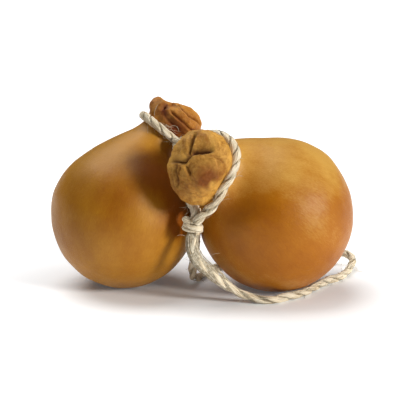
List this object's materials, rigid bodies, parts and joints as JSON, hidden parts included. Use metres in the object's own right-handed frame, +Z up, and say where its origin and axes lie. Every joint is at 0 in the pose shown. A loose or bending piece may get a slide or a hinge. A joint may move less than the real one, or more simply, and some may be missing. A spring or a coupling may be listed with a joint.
{
  "type": "pair of tied provolone cheeses",
  "caption": "Pear-shaped smoked stretched-curd cheeses with folded heads, tied at the necks as a pair with one twisted twine whose long loop lies round one of them.",
  "frame": {"origin": "on the floor under the middle of the tied pair, measured without the free twine loop", "axes": "+Z up, +X from the left cheese to the right one along the pair's length, -Y towards the front, where the right cheese's folded head points"},
  "size_m": [0.2537, 0.1386, 0.1536],
  "materials": {
    "rind_left": "satin waxy smoked rind, darker golden brown",
    "rind_right": "satin waxy smoked rind, golden brown",
    "twine": "dull cream plant fibre, two strands twisted"
  },
  "bodies": {
    "root": {"cheese_left": "rind_left", "cheese_right": "rind_right", "neck_tie_left": "twine", "neck_tie_right": "twine", "knot_left": "twine", "knot_right": "twine", "twine_loop": "twine"}
  },
  "joints": []
}
